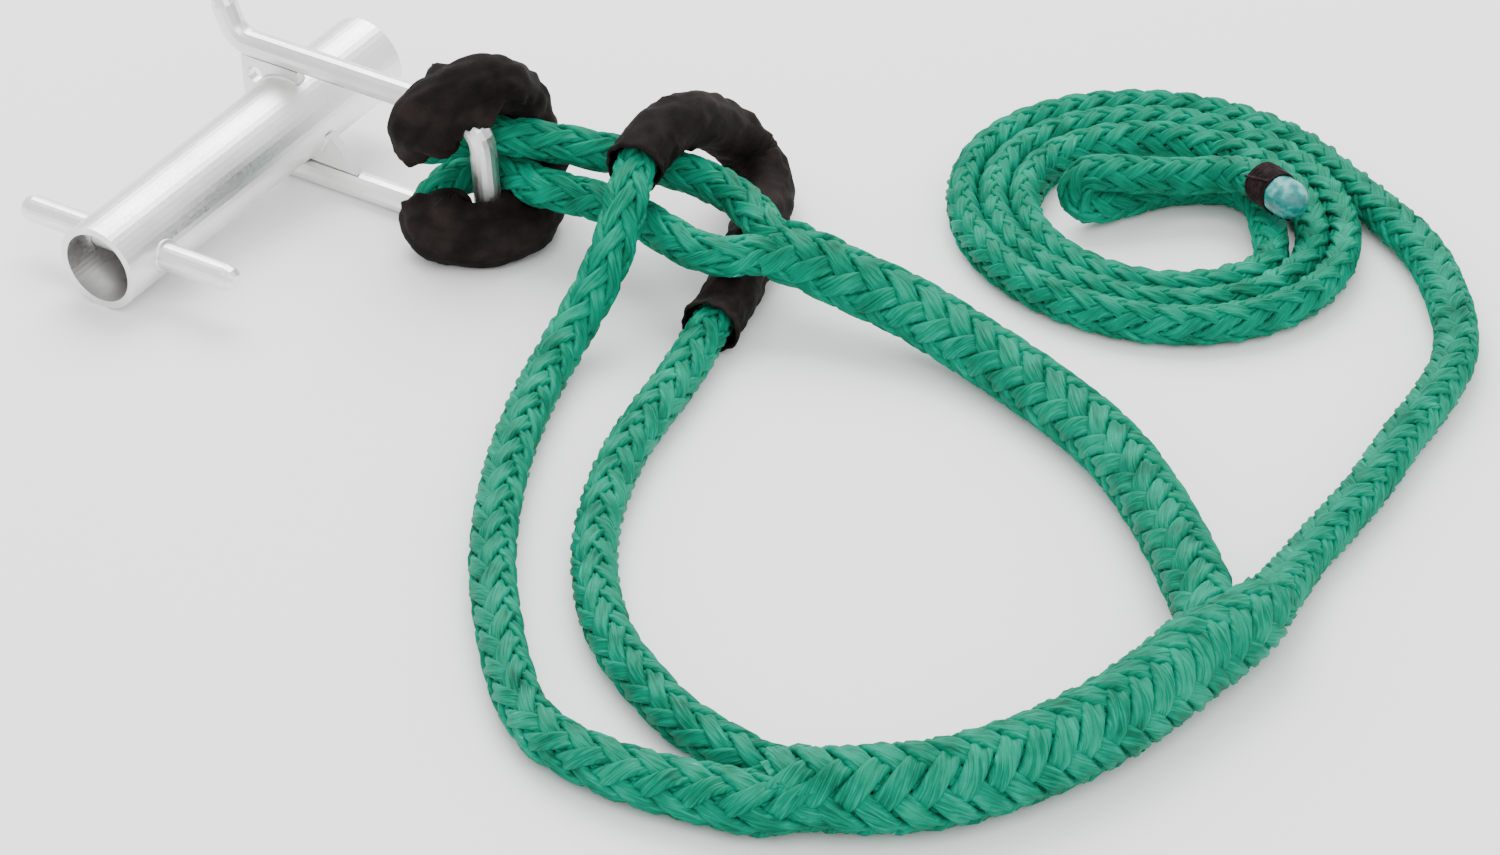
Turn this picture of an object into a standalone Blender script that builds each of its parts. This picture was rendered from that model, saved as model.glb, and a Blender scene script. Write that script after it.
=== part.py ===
"""Adjustable rope sling hitched to a friction lowering bollard.

The bollard is a welded piece: an open tube, a cleat pin through it, and a ring of bent round bar
held on by two gusset plates. The sling is one length of hollow-braid rope. Its small spliced eye
is cow-hitched on the ring through a fabric sleeve, its adjustable loop is hitched round the two
strands of that eye, and the free tail is coiled beside it on the floor.

Metres, +Z up. The origin is on the floor under the middle of the bollard. +Y runs along the
barrel towards its raised end, and +X points along the ring's legs towards the sling.
"""
import math

import bmesh
import bpy
from mathutils import Matrix, Vector

# ---- bollard ----
BARREL_OD = 0.0422
BARREL_WALL = 0.0036
BARREL_LENGTH = 0.203
PIN_D = 0.0127
PIN_LENGTH = 0.125
PIN_FROM_FRONT = 0.0235
RING_BAR_D = 0.0127
RING_FROM_FRONT = 0.146
RING_HEIGHT = 0.061            # between the centre lines of the two legs
RING_REACH = 0.112             # barrel axis to the centre line of the ring's end bar
RING_BEND_R = 0.017
LOWER_LEG_PAST_AXIS = 0.012
UPPER_LEG_PAST_AXIS = 0.020
HORN_BEND_R = 0.012
HORN_TURN = math.radians(72)
HORN_LENGTH = 0.010
PLATE_THICKNESS = 0.005
PLATE_HOLE_D = 0.009
LEG_PLATE_LENGTH = 0.016
WELD_GAP = 0.0003              # welded and touching pieces are drawn this far apart

# ---- rope, as it lies ----
ROPE_D = 0.021
EYE_ROPE_D = 0.018             # the eye's two strands, pulled down by the splice
END_ROPE_D = 0.018             # the tail's end, pulled down by its whipping
CORE_D = 0.017                 # rope squeezed by the braid that it is buried in
SPLICE_OD = 0.030
BURY_OD = 0.038
SLEEVE_WALL = 0.0022
SLEEVE_GAP = 0.0003

# ---- coil of the free tail ----
COIL_CENTRE = (0.340, 0.227)
COIL_RADIUS = 0.1105
COIL_TURNS = 3
COIL_PITCH = 0.0158
COIL_HEIGHT = 0.0205
COIL_SQUASH = 0.882
COIL_EDGE_SHARE = 0.25         # how much of the coil's height its rounded edges take
COIL_SIDES = 48
COIL_LIE = math.radians(-27)   # direction of the coil's long axis
FLOOR_GAP = 0.0003

# ---- whipped and dipped end of the tail ----
WHIPPING_WALL = 0.001
DIP_LENGTH = 0.017
DIP_D = 0.020

SPAN_STEPS = 2                 # curve points for each span of a route
ROUND = 24
ROPE_SIDES = 10
DOME_ANGLES = (math.radians(35), math.radians(65))
UP = (0, 0, 1)
BACK = (0, 1, 0)

# ---- rope routes, in millimetres ----
EYE_STRAND_ROUTE = [
    (222, 72, 37.5), (210, 80, 38.5), (194, 88, 39), (177, 91.5, 40), (161, 91, 41), (145, 87, 43),
    (131, 81, 45), (121, 76, 47), (110, 70, 49), (98, 65, 50), (88, 61, 50.5), (78, 58, 50),
    (70, 51.5, 49.5), (64, 43, 49), (61, 34, 50.5), (60, 26, 55), (60, 21, 62.5), (63, 19, 71),
    (69, 21, 79), (76, 27, 84.5), (81, 36, 87), (84, 46.5, 86), (85, 57, 80.5), (83.5, 67, 72.5),
    (81, 78, 61), (79, 87, 46), (80, 90, 31), (86, 84, 20), (95, 71.5, 13.5), (101, 58, 11.7),
    (102, 44, 11.7), (96, 31, 11.7), (86, 22, 11.7), (76, 18.3, 12.2), (67.5, 20.8, 14.6),
    (61.5, 28.5, 18.2), (60, 39, 22), (62, 48.5, 25), (67.5, 56, 27.5), (77, 60.3, 29.5), (88, 60.5, 31),
    (98, 57.2, 32.3), (106, 54.5, 33), (119, 55, 33.7), (134, 56.5, 34.3), (147, 56, 35), (169, 51, 36),
    (189, 44.5, 37), (204, 41.5, 37), (217, 44, 37), (228, 53, 37)]
SLEEVE_ON_EYE = (15, 35)       # first and last route point under the sleeve
STANDING_ROUTE = [
    (231, 64, 36), (245, 67, 34), (258, 68.5, 31.5), (272, 69.5, 28.5), (288, 72, 25), (304, 73, 21.5),
    (334, 69, 17), (368, 59, 15.5), (405, 44, 15.5), (434, 28, 15.5), (462, 7, 15.5), (488, -17, 17.2),
    (507, -37, 19.3), (524, -55, 19.4), (536, -74, 19.4), (541, -95, 19.4), (540, -117, 19.4),
    (535, -151, 19.4), (527, -179, 19.4), (516, -204, 19.4), (502, -226, 19.4), (484, -242, 19.4),
    (464, -252.5, 19.4), (444, -257.5, 19.4)]
BURY_STARTS = 12               # route point where the adjustable bury follows the fixed splice
LOOP_ROUTE = [
    (444.5, -271, 13), (429, -275, 12), (412, -278.5, 11), (391, -281, 11), (370, -280.5, 11),
    (350, -277, 11), (331, -267, 11), (314, -253, 11), (289, -227, 11), (258, -190, 11), (231, -149, 11),
    (207, -104, 11), (187, -56, 11), (177.5, -22, 15), (177, -4, 26), (177, 13, 42), (172, 31, 56),
    (164, 50, 62.5), (158, 70, 65.8), (157, 88, 65.3), (156, 105, 60.5), (154.5, 120, 52),
    (153.5, 134, 42.5), (154, 145.5, 31.5), (159, 151.5, 21.5), (167, 150, 15.5), (176, 140, 13.2),
    (185, 125, 13), (193.5, 106, 13), (203, 84, 13), (212, 61, 13), (219, 40, 13), (224, 21, 13),
    (230, 0, 12), (236, -24, 11), (249.5, -79, 11), (270, -128, 11), (296, -169, 11), (331, -205, 11),
    (376, -231.5, 11), (399, -239.5, 11.3), (416, -243.5, 12), (434, -247, 13)]
SLEEVE_ON_LOOP = (17, 32)
TAIL_ROUTE = [
    (543, -28, 15.5), (540, -11, 13), (536, 12, 11), (534, 42, 11), (531, 76, 11), (525, 113, 11),
    (521, 146, 11), (514, 180, 11), (505, 202, 11), (493, 221, 11), (477, 241, 11), (462, 257, 11),
    (446, 270, 11)]
END_ROUTE = [
    (376.5, 255, 9.5), (369.5, 262.5, 9.5), (359.5, 267, 9.5), (348, 266.5, 9.5), (337, 260, 9.5),
    (325, 249, 9.5), (317, 235, 9.5), (311, 223, 9.8), (307, 213, 12), (303, 208, 17.5), (303, 208, 24),
    (306, 212, 28.3), (314, 219, 28.7), (324, 228, 26.5), (334, 239, 24), (344, 248, 23), (355, 254, 24.5),
    (368, 252, 28.5), (378, 247, 31.3), (391, 241, 32)]
HITCH_AT = (0.084075, 0.044325)  # where the ring's end bar stands for these routes


def clear_scene():
    for existing in list(bpy.data.objects):
        bpy.data.objects.remove(existing)


def material(name, colour, roughness, metallic=0.0):
    new = bpy.data.materials.new(name)
    new.use_nodes = True
    shader = new.node_tree.nodes["Principled BSDF"]
    shader.inputs["Base Color"].default_value = (*colour, 1.0)
    shader.inputs["Roughness"].default_value = roughness
    shader.inputs["Metallic"].default_value = metallic
    new.diffuse_color = (*colour, 1.0)
    return new


def add_object(name, data, finish, parent=None):
    piece = bpy.data.objects.new(name, data)
    bpy.context.collection.objects.link(piece)
    data.materials.append(finish)
    piece.parent = parent
    return piece


def mesh_from(name, shape):
    """Turn a bmesh into a mesh with smooth faces and sharp corners."""
    bmesh.ops.recalc_face_normals(shape, faces=shape.faces)
    data = bpy.data.meshes.new(name)
    shape.to_mesh(data)
    shape.free()
    data.shade_smooth()
    data.set_sharp_from_angle(angle=math.radians(35))
    return data


def smooth_curve(points):
    """Points read from a smooth curve through the given ones."""
    places = [Vector(point) for point in points]
    before = places[0] * 2 - places[1]
    after = places[-1] * 2 - places[-2]
    padded = [before, *places, after]
    curve = []
    for a, b, c, d in zip(padded, padded[1:], padded[2:], padded[3:]):
        for step in range(SPAN_STEPS):
            t = step / SPAN_STEPS
            curve.append(0.5 * (2 * b + (c - a) * t + (2 * a - 5 * b + 4 * c - d) * t ** 2
                                + (3 * b - a - 3 * c + d) * t ** 3))
    curve.append(places[-1])
    return curve


def in_metres(route):
    """A route's points in metres, moved with the ring that the sling is hitched on."""
    return [(x / 1000 + SLING_SHIFT[0], y / 1000 + SLING_SHIFT[1], z / 1000) for x, y, z in route]


def stations(points, first_side):
    """Each point with a pair of crosswise directions, turned along the curve without twist."""
    found = []
    side = Vector(first_side)
    for index, point in enumerate(points):
        before = points[max(index - 1, 0)]
        after = points[min(index + 1, len(points) - 1)]
        along = (after - before).normalized()
        side = (side - along * side.dot(along)).normalized()
        found.append((point, side.copy(), along.cross(side)))
    return found


def moved_start(run, distance):
    """The same stations, the first one moved along the run."""
    point, across, over = run[0]
    return [(point + across.cross(over) * distance, across, over), *run[1:]]


def ring_of_vertices(shape, station, radius, sides):
    centre, across, over = station
    ring = []
    for step in range(sides):
        angle = 2 * math.pi * step / sides
        ring.append(shape.verts.new(centre + (across * math.cos(angle) + over * math.sin(angle)) * radius))
    return ring


def join_rings(shape, first, second):
    count = len(first)
    for step in range(count):
        following = (step + 1) % count
        shape.faces.new((first[step], first[following], second[following], second[step]))


def domed_rings(shape, station, outward, radius, sides):
    """Rings that round a bar's end off, from the bar outwards."""
    centre, across, over = station
    rings = []
    for angle in DOME_ANGLES:
        place = centre + outward * radius * math.sin(angle)
        rings.append(ring_of_vertices(shape, (place, across, over), radius * math.cos(angle), sides))
    return rings


def round_bar(name, run, radius, finish, parent=None, sides=ROUND, domed=(False, False)):
    """A solid round bar along a run of stations, with flat or domed ends."""
    shape = bmesh.new()
    rings = [ring_of_vertices(shape, station, radius, sides) for station in run]
    at_start, at_end = domed
    if at_start:
        outward = (run[0][0] - run[1][0]).normalized()
        rings = list(reversed(domed_rings(shape, run[0], outward, radius, sides))) + rings
    if at_end:
        outward = (run[-1][0] - run[-2][0]).normalized()
        rings = rings + domed_rings(shape, run[-1], outward, radius, sides)
    for first, second in zip(rings, rings[1:]):
        join_rings(shape, first, second)
    shape.faces.new(rings[0])
    shape.faces.new(list(reversed(rings[-1])))
    return add_object(name, mesh_from(name, shape), finish, parent)


def hollow_tube(name, run, outer, bore, finish, parent=None, sides=ROPE_SIDES):
    """A tube along a run of stations, open at both ends."""
    shape = bmesh.new()
    outside = [ring_of_vertices(shape, station, outer / 2, sides) for station in run]
    inside = [ring_of_vertices(shape, station, bore / 2, sides) for station in run]
    for rings in (outside, inside):
        for first, second in zip(rings, rings[1:]):
            join_rings(shape, first, second)
    join_rings(shape, outside[0], inside[0])
    join_rings(shape, outside[-1], inside[-1])
    return add_object(name, mesh_from(name, shape), finish, parent)


def bore_over(diameter):
    """Width of a many-sided bore whose flats clear a round rope by the sleeve gap."""
    return (diameter + 2 * SLEEVE_GAP) / math.cos(math.pi / ROPE_SIDES)


def rope(name, points, diameter, finish):
    """A solid rope along points, as a bevelled curve with closed ends."""
    curve = bpy.data.curves.new(name, "CURVE")
    curve.dimensions = "3D"
    curve.twist_mode = "MINIMUM"
    curve.bevel_depth = diameter / 2
    curve.bevel_resolution = 3
    curve.use_fill_caps = True
    spline = curve.splines.new("POLY")
    spline.points.add(len(points) - 1)
    for target, point in zip(spline.points, points):
        target.co = (*point, 1.0)
    return add_object(name, curve, finish)


def cutter(name, data, parent):
    tool = bpy.data.objects.new(name, data)
    bpy.context.collection.objects.link(tool)
    tool.parent = parent
    tool.hide_render = True
    tool.display_type = "WIRE"
    return tool


def cut(piece, tool):
    modifier = piece.modifiers.new(tool.name, "BOOLEAN")
    modifier.operation = "DIFFERENCE"
    modifier.solver = "EXACT"
    modifier.object = tool


def cylinder(radius, length, turn, place=(0, 0, 0), sides=ROUND):
    shape = bmesh.new()
    bmesh.ops.create_cone(shape, cap_ends=True, segments=sides, radius1=radius, radius2=radius, depth=length,
                          matrix=Matrix.Translation(place) @ turn)
    return mesh_from("cylinder", shape)


# ---- the bollard's own frame: u along the ring's legs, n along the barrel, w up ----
BARREL_R = BARREL_OD / 2
BAR_R = RING_BAR_D / 2
LEG_DROP = BARREL_R + BAR_R + WELD_GAP
LEG_RISE = RING_HEIGHT - LEG_DROP
RING_N = RING_FROM_FRONT - BARREL_LENGTH / 2
PIN_N = PIN_FROM_FRONT - BARREL_LENGTH / 2
TILT = math.atan2(LEG_DROP + BAR_R - BARREL_R, RING_FROM_FRONT)
BARREL_X = -(RING_REACH + BAR_R - PIN_LENGTH / 2) / 2
BARREL_Z = BARREL_LENGTH / 2 * math.sin(TILT) + BARREL_R * math.cos(TILT)
SLING_SHIFT = (round(BARREL_X + RING_REACH - HITCH_AT[0], 5), round(RING_N * math.cos(TILT) - HITCH_AT[1], 5))
ALONG_X = Matrix.Rotation(math.pi / 2, 4, "Y")
ALONG_Y = Matrix.Rotation(math.pi / 2, 4, "X")


def arc(centre, radius, start, end, steps):
    """Points of an arc in the ring's plane, angles from +u towards +w."""
    points = []
    for step in range(steps + 1):
        angle = start + (end - start) * step / steps
        points.append(Vector((centre[0] + radius * math.cos(angle), RING_N,
                              centre[1] + radius * math.sin(angle))))
    return points


def make_bollard_frame():
    frame = bpy.data.objects.new("bollard_frame", None)
    bpy.context.collection.objects.link(frame)
    frame.location = (BARREL_X, 0.0, BARREL_Z)
    frame.rotation_euler = (TILT, 0.0, 0.0)
    return frame


def make_barrel(frame, finish):
    half = BARREL_LENGTH / 2
    run = stations([Vector((0, -half, 0)), Vector((0, half, 0))], UP)
    barrel = hollow_tube("barrel_tube", run, BARREL_OD, BARREL_OD - 2 * BARREL_WALL, finish, frame, 2 * ROUND)
    hole = cylinder(PIN_D / 2 + WELD_GAP, PIN_LENGTH, ALONG_X, (0, PIN_N, 0))
    cut(barrel, cutter("pin_hole_cutter", hole, frame))


def make_pin(frame, finish):
    half = PIN_LENGTH / 2 - PIN_D / 2
    ends = [Vector((-half, PIN_N, 0)), Vector((half, PIN_N, 0))]
    round_bar("cleat_pin", stations(ends, UP), PIN_D / 2, finish, frame, domed=(True, True))


def make_ring(frame, finish):
    """One bent bar: lower leg, end bar, upper leg and the horn turned up beyond the barrel."""
    quarter = math.pi / 2
    corner_u = RING_REACH - RING_BEND_R
    horn_u = -UPPER_LEG_PAST_AXIS
    points = [Vector((-LOWER_LEG_PAST_AXIS, RING_N, -LEG_DROP))]
    points += arc((corner_u, RING_BEND_R - LEG_DROP), RING_BEND_R, -quarter, 0, 8)
    points += arc((corner_u, LEG_RISE - RING_BEND_R), RING_BEND_R, 0, quarter, 8)
    points += arc((horn_u, LEG_RISE + HORN_BEND_R), HORN_BEND_R, -quarter, -quarter - HORN_TURN, 8)
    outward = Vector((math.cos(math.pi - HORN_TURN), 0, math.sin(math.pi - HORN_TURN)))
    points.append(points[-1] + outward * HORN_LENGTH)
    round_bar("ring_bar", stations(points, BACK), BAR_R, finish, frame, sides=16, domed=(True, True))


def plate(name, outline, finish, frame):
    """A flat plate across the barrel, in the ring's plane, from its (u, w) outline."""
    shape = bmesh.new()
    face = shape.faces.new([shape.verts.new((u, RING_N - PLATE_THICKNESS / 2, w)) for u, w in outline])
    pulled = bmesh.ops.extrude_face_region(shape, geom=[face])
    moved = [item for item in pulled["geom"] if isinstance(item, bmesh.types.BMVert)]
    bmesh.ops.translate(shape, verts=moved, vec=(0, PLATE_THICKNESS, 0))
    return add_object(name, mesh_from(name, shape), finish, frame)


def make_plates(frame, finish):
    seat = BARREL_R + WELD_GAP
    under_leg = LEG_RISE - BAR_R - WELD_GAP
    edge_u = -UPPER_LEG_PAST_AXIS - HORN_BEND_R / 2
    around = [(seat * math.cos(angle), seat * math.sin(angle))
              for angle in [math.radians(70 + 11 * step) for step in range(11)]]
    horn_plate = plate("horn_gusset", [(around[0][0], under_leg), *around, (edge_u, around[-1][1]),
                                       (edge_u, under_leg)], finish, frame)
    hole = cylinder(PLATE_HOLE_D / 2, 4 * PLATE_THICKNESS, ALONG_Y, (edge_u + 0.0075, RING_N, under_leg - 0.009))
    cut(horn_plate, cutter("plate_hole_cutter", hole, frame))
    over_leg = -LEG_DROP + BAR_R + WELD_GAP
    beside = [(seat * math.cos(angle), seat * math.sin(angle))
              for angle in [math.radians(-70 + 10 * step) for step in range(7)]]
    low = [(u, max(w, over_leg)) for u, w in beside]
    plate("leg_gusset", [*low, (low[-1][0] + 0.002, low[-1][1]), (low[-1][0] + LEG_PLATE_LENGTH, over_leg)],
          finish, frame)


def sleeve(name, rope_curve, covered, outer, rope_d, finish):
    """A fabric sleeve over the stretch of a rope between two of its route points."""
    first, last = covered
    under = rope_curve[SPAN_STEPS * first:SPAN_STEPS * last + 1]
    hollow_tube(name, stations(under, UP), outer, bore_over(rope_d), finish)


def make_eye(rope_finish, sleeve_finish):
    curve = smooth_curve(in_metres(EYE_STRAND_ROUTE))
    rope("eye_strands", curve, EYE_ROPE_D, rope_finish)
    sleeve("eye_sleeve", curve, SLEEVE_ON_EYE, EYE_ROPE_D + 2 * SLEEVE_WALL, EYE_ROPE_D, sleeve_finish)


def make_loop(rope_finish, sleeve_finish):
    curve = smooth_curve(in_metres(LOOP_ROUTE))
    rope("loop_rope", curve, ROPE_D, rope_finish)
    sleeve("loop_sleeve", curve, SLEEVE_ON_LOOP, ROPE_D + 2 * SLEEVE_WALL, ROPE_D, sleeve_finish)


def make_splices(rope_finish):
    """The two doubled stretches: an outer braid each, with the rope that is buried in it."""
    whole = stations(smooth_curve(in_metres(STANDING_ROUTE)), UP)
    parting = BURY_STARTS * SPAN_STEPS
    runs = {"fixed_splice": (whole[:parting + 1], SPLICE_OD),
            "adjustable_bury": (moved_start(whole[parting:], SLEEVE_GAP), BURY_OD)}
    for name, (run, outer) in runs.items():
        hollow_tube(name + "_braid", run, outer, bore_over(CORE_D), rope_finish)
        round_bar(name + "_core", run, CORE_D / 2, rope_finish, sides=ROPE_SIDES)


def coil_frame():
    """The coil's own frame: X along its long axis, with its size across drawn in."""
    centre = (COIL_CENTRE[0] + SLING_SHIFT[0], COIL_CENTRE[1] + SLING_SHIFT[1], 0)
    return Matrix.Translation(centre) @ Matrix.Rotation(COIL_LIE, 4, "Z")


def make_coil(rope_finish):
    """The coiled part of the tail as one ring of its outer shape."""
    shape = bmesh.new()
    inner = COIL_RADIUS - COIL_TURNS * COIL_PITCH
    edge = COIL_HEIGHT * COIL_EDGE_SHARE
    profile = [(inner, FLOOR_GAP + edge), (inner + edge, FLOOR_GAP), (COIL_RADIUS - edge, FLOOR_GAP),
               (COIL_RADIUS, FLOOR_GAP + edge), (COIL_RADIUS, COIL_HEIGHT - edge),
               (COIL_RADIUS - edge, COIL_HEIGHT), (inner + edge, COIL_HEIGHT), (inner, COIL_HEIGHT - edge)]
    corners = [shape.verts.new((radius, 0, height)) for radius, height in profile]
    edges = [shape.edges.new((a, b)) for a, b in zip(corners, corners[1:] + corners[:1])]
    bmesh.ops.spin(shape, geom=corners + edges, cent=(0, 0, 0), axis=(0, 0, 1), angle=2 * math.pi,
                   steps=COIL_SIDES, use_merge=True)
    bmesh.ops.remove_doubles(shape, verts=shape.verts, dist=0.00001)
    squash = Matrix.Diagonal((1, COIL_SQUASH, 1, 1))
    bmesh.ops.transform(shape, verts=shape.verts, matrix=coil_frame() @ squash)
    add_object("tail_coil", mesh_from("tail_coil", shape), rope_finish)


def make_tail(rope_finish, whipping_finish, dip_finish):
    rope("tail_rope", smooth_curve(in_metres(TAIL_ROUTE)), ROPE_D, rope_finish)
    end = smooth_curve(in_metres(END_ROUTE))
    rope("tail_end_rope", end, END_ROPE_D, rope_finish)
    last = len(END_ROUTE) - 1
    sleeve("tail_whipping", end, (last - 1, last), bore_over(END_ROPE_D) + 2 * WHIPPING_WALL, END_ROPE_D,
           whipping_finish)
    along = (end[-1] - end[-2]).normalized()
    dip_start = end[-1] + along * SLEEVE_GAP
    dipped = stations([dip_start, dip_start + along * (DIP_LENGTH - DIP_D / 2)], UP)
    round_bar("tail_dipped_end", dipped, DIP_D / 2, dip_finish, sides=16, domed=(False, True))


def main():
    clear_scene()
    steel = material("satin_steel", (0.78, 0.77, 0.76), 0.38, 1.0)
    braid = material("green_braid", (0.0, 0.37, 0.22), 0.6)
    sleeve = material("black_sleeve", (0.02, 0.014, 0.012), 0.85)
    whipping = material("black_whipping", (0.035, 0.018, 0.02), 0.7)
    dip = material("teal_dip", (0.01, 0.38, 0.36), 0.35)
    frame = make_bollard_frame()
    make_barrel(frame, steel)
    make_pin(frame, steel)
    make_ring(frame, steel)
    make_plates(frame, steel)
    make_eye(braid, sleeve)
    make_splices(braid)
    make_loop(braid, sleeve)
    make_coil(braid)
    make_tail(braid, whipping, dip)


main()
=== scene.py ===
"""Visible model of an adjustable rope sling that is hitched to a friction lowering bollard.

The bollard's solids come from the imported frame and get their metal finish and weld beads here. The
sling is drawn as it is made: twelve strands braided round each centre line, fabric sleeves with
creases and hems over two stretches, and a whipped and dipped end. Metres, +Z up.
"""
from __future__ import annotations

import logging
import math
from dataclasses import dataclass
from enum import Enum

import bmesh
import bpy
from mathutils import Matrix, Vector, noise

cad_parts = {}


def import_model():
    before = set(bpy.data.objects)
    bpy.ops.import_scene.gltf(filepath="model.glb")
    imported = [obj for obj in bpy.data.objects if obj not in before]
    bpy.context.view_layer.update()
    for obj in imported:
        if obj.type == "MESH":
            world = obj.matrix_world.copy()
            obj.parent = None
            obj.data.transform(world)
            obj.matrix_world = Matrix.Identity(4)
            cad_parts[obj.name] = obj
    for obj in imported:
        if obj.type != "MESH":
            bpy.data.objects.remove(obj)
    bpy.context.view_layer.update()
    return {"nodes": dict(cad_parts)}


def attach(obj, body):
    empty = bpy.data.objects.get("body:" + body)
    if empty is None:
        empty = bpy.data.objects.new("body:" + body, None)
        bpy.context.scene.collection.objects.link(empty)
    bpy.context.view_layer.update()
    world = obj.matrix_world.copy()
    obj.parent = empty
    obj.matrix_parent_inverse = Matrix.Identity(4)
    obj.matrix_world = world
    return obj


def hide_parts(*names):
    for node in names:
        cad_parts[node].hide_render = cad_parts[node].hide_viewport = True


LOG = logging.getLogger("sling")
UP = Vector((0.0, 0.0, 1.0))
OFF_FLOOR = 0.0005           # least height of rope and cloth over the floor
TURN = 2 * math.pi
SPAN_STEPS = 8               # places read for each span of a route

Point = tuple[float, float, float]
Colour = tuple[float, float, float]
Size = tuple[float, float]
Line = list[tuple[Vector, float, float]]    # place, half width and half height, in order
Socket = bpy.types.NodeSocket


def metres(*points: Point) -> list[Point]:
    """Points that are written in millimetres, in metres."""
    return [tuple(number / 1000 for number in point) for point in points]


# ---- routes of the rope, as it lies, in millimetres ----
EYE_ROUTE = metres(
    (222, 72, 37.5), (210, 80, 38.5), (194, 88, 39), (177, 91.5, 40), (161, 91, 41), (145, 87, 43),
    (131, 81, 45), (121, 76, 47), (110, 70, 49), (98, 65, 50), (88, 61, 50.5), (78, 58, 50),
    (70, 51.5, 49.5), (64, 43, 49), (61, 34, 50.5), (60, 26, 55), (60, 21, 62.5), (63, 19, 71),
    (69, 21, 79), (76, 27, 84.5), (81, 36, 87), (84, 46.5, 86), (85, 57, 80.5), (83.5, 67, 72.5),
    (81, 78, 61), (79, 87, 46), (80, 90, 31), (86, 84, 20), (95, 71.5, 13.5), (101, 58, 11.7),
    (102, 44, 11.7), (96, 31, 11.7), (86, 22, 11.7), (76, 18.3, 12.2), (67.5, 20.8, 14.6),
    (61.5, 28.5, 18.2), (60, 39, 22), (62, 48.5, 25), (67.5, 56, 27.5), (77, 60.3, 29.5), (88, 60.5, 31),
    (98, 57.2, 32.3), (106, 54.5, 33), (119, 55, 33.7), (134, 56.5, 34.3), (147, 56, 35), (169, 51, 36),
    (189, 44.5, 37), (204, 41.5, 37), (217, 44, 37), (228, 53, 37))
STANDING_ROUTE = metres(
    (231, 64, 36), (245, 67, 34), (258, 68.5, 31.5), (272, 69.5, 28.5), (288, 72, 25), (304, 73, 21.5),
    (334, 69, 17), (368, 59, 15.5), (405, 44, 15.5), (434, 28, 15.5), (462, 7, 15.5), (488, -17, 17.2),
    (507, -37, 19.3), (524, -55, 19.4), (536, -74, 19.4), (541, -95, 19.4), (540, -117, 19.4),
    (535, -151, 19.4), (527, -179, 19.4), (516, -204, 19.4), (502, -226, 19.4), (484, -242, 19.4),
    (464, -252.5, 19.4), (444, -257.5, 19.4))
LOOP_ROUTE = metres(
    (444.5, -271, 13), (429, -275, 12), (412, -278.5, 11), (391, -281, 11), (370, -280.5, 11),
    (350, -277, 11), (331, -267, 11), (314, -253, 11), (289, -227, 11), (258, -190, 11), (231, -149, 11),
    (207, -104, 11), (187, -56, 11), (177.5, -22, 15), (177, -4, 26), (177, 13, 42), (172, 31, 56),
    (164, 50, 62.5), (158, 70, 65.8), (157, 88, 65.3), (156, 105, 60.5), (154.5, 120, 52),
    (153.5, 134, 42.5), (154, 145.5, 31.5), (159, 151.5, 21.5), (167, 150, 15.5), (176, 140, 13.2),
    (185, 125, 13), (193.5, 106, 13), (203, 84, 13), (212, 61, 13), (219, 40, 13), (224, 21, 13),
    (230, 0, 12), (236, -24, 11), (249.5, -79, 11), (270, -128, 11), (296, -169, 11), (331, -205, 11),
    (376, -231.5, 11), (399, -239.5, 11.3), (416, -243.5, 12), (434, -247, 13))
TAIL_ROUTE = metres(
    (543, -28, 15.5), (540, -11, 13), (536, 12, 11), (534, 42, 11), (531, 76, 11), (525, 113, 11),
    (521, 146, 11), (514, 180, 11), (505, 202, 11), (493, 221, 11), (477, 241, 11), (462, 257, 11),
    (446, 270, 11))
END_ROUTE = metres(
    (376.5, 255, 9.5), (369.5, 262.5, 9.5), (359.5, 267, 9.5), (348, 266.5, 9.5), (337, 260, 9.5),
    (325, 249, 9.5), (317, 235, 9.5), (311, 223, 9.8), (307, 213, 12), (303, 208, 17.5), (303, 208, 24),
    (306, 212, 28.3), (314, 219, 28.7), (324, 228, 26.5), (334, 239, 24), (344, 248, 23), (355, 254, 24.5),
    (368, 252, 28.5), (378, 247, 31.3), (391, 241, 32))
TO_COIL = metres((421, 285, 10.8))    # where the tail bends into the coil
TAIL_IN_BURY = metres((544, -66, 19), (546, -50, 18.5), (545.5, -38, 16.5))
BURY_MOUTH = metres((545.5, -42, 18), (546, -58, 19), (544, -77, 19.4))
BURY_END = metres((464, -252.5, 17.8), (446, -257.5, 15.5))
EYE_STARTS_IN = metres((252, 66.5, 33), (237, 69.5, 36))
EYE_ENDS_IN = metres((240, 60.5, 36), (254, 65.5, 32.5))
LOOP_STARTS_IN = metres((480, -250, 18.5), (462, -262, 16.5))
LOOP_ENDS_IN = metres((452, -245.5, 16.5), (470, -244.5, 18.5))
SLEEVE_ON_EYE = (15, 35)     # first and last point of the route that the sleeve covers
SLEEVE_ON_LOOP = (17, 32)
BURY_STARTS = 12             # point of STANDING_ROUTE where the bury's mouth is


class Bodies(Enum):
    """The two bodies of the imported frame."""

    BOLLARD = "bollard"
    SLING = "sling"


class Slots(Enum):
    """The record's material slots."""

    METAL = "satin_steel"
    BRAID = "green_braid"
    SLEEVE = "black_sleeve"
    WHIPPING = "black_whipping"
    DIP = "teal_dip"


class Lay(Enum):
    """How a stretch of rope lies."""

    LOOSE = "loose"
    TAUT = "taut"
    COILED = "coiled"


class FarEnd(Enum):
    """What a stretch of rope comes to at its far end."""

    OBJECT = "object"
    BARE = "bare"


# ---------------------------------------------------------------- lines through space

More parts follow.
